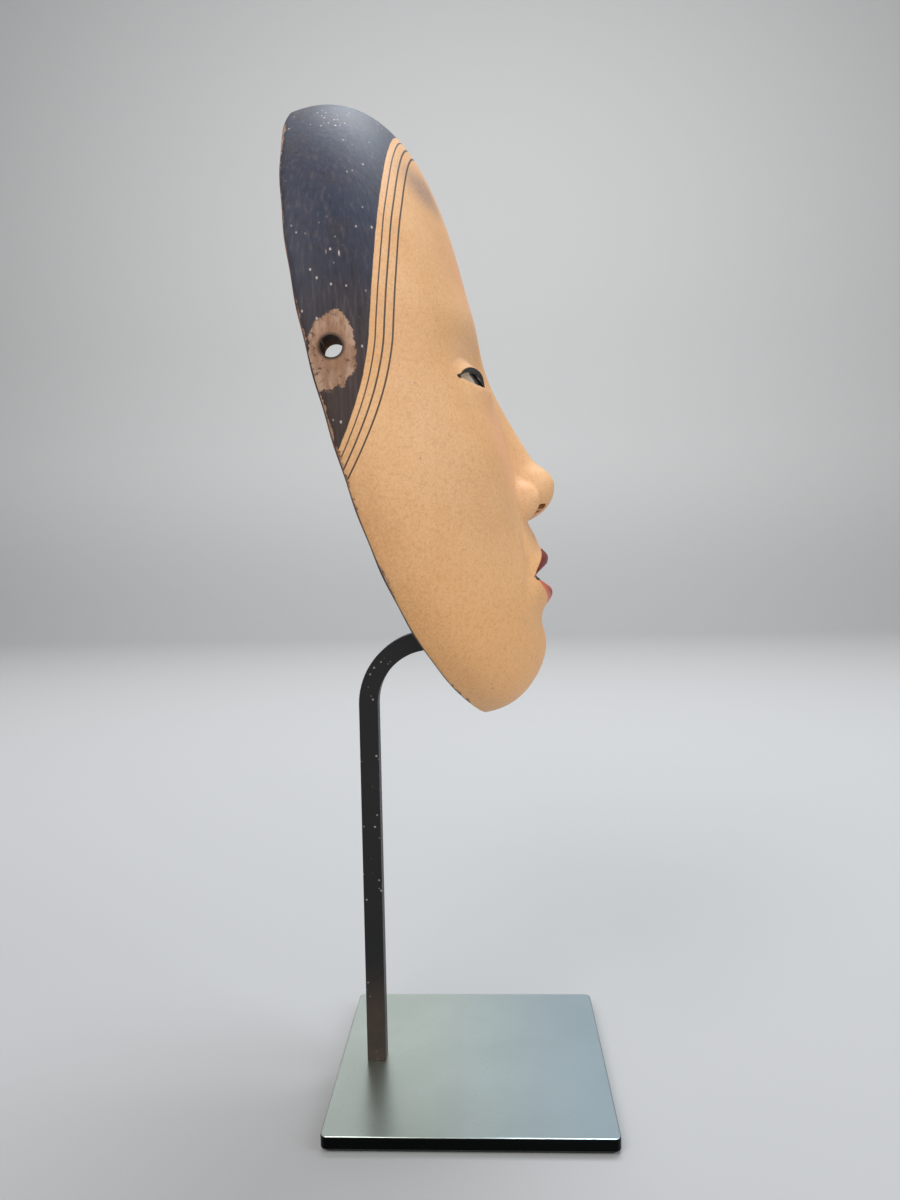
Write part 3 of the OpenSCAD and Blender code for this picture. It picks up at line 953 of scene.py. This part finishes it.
def cutFelt(node, name, plan, material):
    # A swollen felt pad: a = c(v) c(u), b = c(v) s(u), t = s(v), with powers of sine and cosine that
    # square the plan or the side; its middle, directions and half sizes are those of the CAD solid
    middle, directions, half = solidAxes(node)
    around = np.linspace(0, 2 * math.pi, padShape["around"], endpoint=False)
    over = np.linspace(-math.pi / 2, math.pi / 2, padShape["over"] + 1)
    u, v = np.meshgrid(around, over)
    ring = signedPower(np.cos(v), padShape["side"])
    ring[[0, -1]] = 0
    a = ring * signedPower(np.cos(u), plan)
    b = ring * signedPower(np.sin(u), plan)
    t = signedPower(np.sin(v), padShape["side"])
    points = middle + np.stack([a, b, t], -1) * half @ directions
    index = np.arange(u.size).reshape(u.shape)
    index[0], index[-1] = index[0, 0], index[-1, 0]
    index = np.concatenate([index, index[:, :1]], 1)
    faces = gridTriangles(index, allCells(index))
    if np.linalg.det(directions) < 0:
        faces = faces[:, ::-1]
    used, faces = np.unique(faces, return_inverse=True)
    piece = makeMesh(name, points.reshape(-1, 3)[used], faces.reshape(-1, 3))
    piece.data.materials.append(material)
    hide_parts(node)
    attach(piece, "stand")
    return piece


mask = buildMask()
mask.data.materials.append(maskMaterial())
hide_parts("mask_shell")
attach(mask, "mask")
print("mask carved:", len(mask.data.polygons), "faces")

# The plate's pale grey-green colour is a painted reflection of the bright surroundings on satin black
# steel
plateWithPaintedReflection = blackSteel("plate_painted_reflection_finish", (0.64, 0.72, 0.65), 1.0, 0.30, paintedTopReflection)
# The bar's brownish foot is a painted reflection
barSteel = blackSteel("bar_finish", (0.005, 0.005, 0.006), 0.0, 0.45, paintedFootReflection)
bracketSteel = blackSteel("bracket_finish", (0.016, 0.016, 0.017), 0.1, 0.55)
plateFelt = felt("base_felt_finish", (0.012, 0.014, 0.012))
padFelt = felt("pad_felt_finish", (0.05, 0.05, 0.055))
screwSteel = brightSteel()
softened("base_plate", "plate", 0.0004, plateWithPaintedReflection, "stand")
softened("post", "bent_bar", 0.0005, barSteel, "stand")
for node, name in (
    ("spine", "bracket_spine"),
    ("upper_crossbar", "bracket_upper_bar"),
    ("lower_crossbar", "bracket_lower_bar"),
):
    softened(node, name, 0.0003, bracketSteel, "stand")
for name in ("base_screw", "spine_washer", "spine_screw", "crossbar_rivets"):
    dress(name, screwSteel)
softened("base_felt", "plate_felt", 0.00035, plateFelt, "stand")
cutFelt("crown_pad", "crown_felt", padShape["square"], padFelt)
for name in ("left_temple", "right_temple", "left_cheek", "right_cheek"):
    cutFelt(name + "_pad", name + "_felt", padShape["round"], padFelt)
print("stand dressed")

studio = {
    "floorHalf": 3.0,
    "wallAt": 1.6,
    "wallTop": 4.0,
    "bend": 0.8,
    "bendSteps": 24,
    "floorColour": rgb(0.40, 0.40, 0.40),
    "wallColour": rgb(0.52, 0.52, 0.52),
    "worldColour": rgb(0.75, 0.77, 0.8),
    "worldStrength": 0.35,
}

# Each light: where it hangs, what it points at, width and height in metres, power and colour
lights = {
    "key": ((-0.5, -1.0, 1.3), (0, 0, 0.22), (0.9, 0.9), 15.5, (1.0, 0.97, 0.93)),
    "front_fill": ((1.2, -0.5, 0.8), (0, 0, 0.2), (0.8, 1.0), 8, (0.82, 0.90, 1.0)),
    "cool_top": ((0.2, 0.38, 1.3), (0, 0, 0.25), (0.8, 0.4), 12, (0.86, 0.93, 1.0)),
    "low_fill": ((0.35, -1.3, 0.16), (0, 0, 0.17), (0.9, 0.5), 4.6, (1.0, 0.95, 0.88)),
    "wall_wash": ((0, 0.6, 1.5), (0, 2.2, 0.5), (2.0, 0.5), 30, (1, 1, 1)),
}

# Where the camera stands in metres, how it is turned, tipped down and rolled in degrees, and its lens
cameraSet = {
    "at": (0.0092, -0.3192, 0.1841),
    "turn": 2.52,
    "tipDown": 3.15,
    "roll": -1.1,
    "lens": 27.93,
    "sensor": 36,
    "nearest": 0.01,
}


def buildStage():
    # Floor that curves up into a wall: y and z follow a quarter circle between two straight runs
    half, wallAt, bend = studio["floorHalf"], studio["wallAt"], studio["bend"]
    turn = np.linspace(0, math.pi / 2, studio["bendSteps"])
    ys = np.concatenate([[-half], wallAt + bend * np.sin(turn), [wallAt + bend]])
    zs = np.concatenate([[0], bend * (1 - np.cos(turn)), [studio["wallTop"]]])
    xs = np.array([-half * 1.5, half * 1.5])
    points = np.stack([np.repeat(xs, len(ys)), np.tile(ys, 2), np.tile(zs, 2)], -1)
    k = np.arange(len(ys) - 1)
    faces = np.stack([k, k + len(ys), k + len(ys) + 1, k + 1], -1)
    floor = makeMesh("studio_floor", points, faces)
    s = Shader("studio_paper")
    paper = s.mix(s.step(s.axis("Z"), 0.0, 0.5), studio["floorColour"], studio["wallColour"])
    floor.data.materials.append(s.finish(paper, 0.9))


def addLight(name, at, target, size, power, colour):
    # An area lamp, turned so that it looks along target - at
    lamp = bpy.data.lights.new(name, "AREA")
    lamp.shape = "RECTANGLE"
    lamp.size, lamp.size_y = size
    lamp.energy = power
    lamp.color = colour
    item = bpy.data.objects.new(name, lamp)
    bpy.context.scene.collection.objects.link(item)
    item.location = at
    item.rotation_euler = (Vector(target) - Vector(at)).to_track_quat("-Z", "Y").to_euler()


def addCamera():
    # Rolled, tipped from looking down to nearly level, then turned about the vertical
    data = bpy.data.cameras.new("camera")
    data.sensor_fit = "AUTO"
    data.sensor_width = cameraSet["sensor"]
    data.lens = cameraSet["lens"]
    data.clip_start = cameraSet["nearest"]
    item = bpy.data.objects.new("camera", data)
    bpy.context.scene.collection.objects.link(item)
    turn = Matrix.Rotation(math.radians(cameraSet["turn"]), 4, "Z")
    tip = Matrix.Rotation(math.radians(90 - cameraSet["tipDown"]), 4, "X")
    roll = Matrix.Rotation(math.radians(cameraSet["roll"]), 4, "Z")
    item.matrix_world = Matrix.Translation(cameraSet["at"]) @ turn @ tip @ roll
    bpy.context.scene.camera = item


def addWorld():
    # An even grey sky for the soft shadows
    world = bpy.data.worlds.new("studio")
    world.use_nodes = True
    background = world.node_tree.nodes["Background"]
    background.inputs["Color"].default_value = studio["worldColour"]
    background.inputs["Strength"].default_value = studio["worldStrength"]
    bpy.context.scene.world = world
    bpy.context.scene.view_settings.view_transform = "Standard"


buildStage()
for name, settings in lights.items():
    addLight(name, *settings)
addWorld()
addCamera()
print("studio ready")
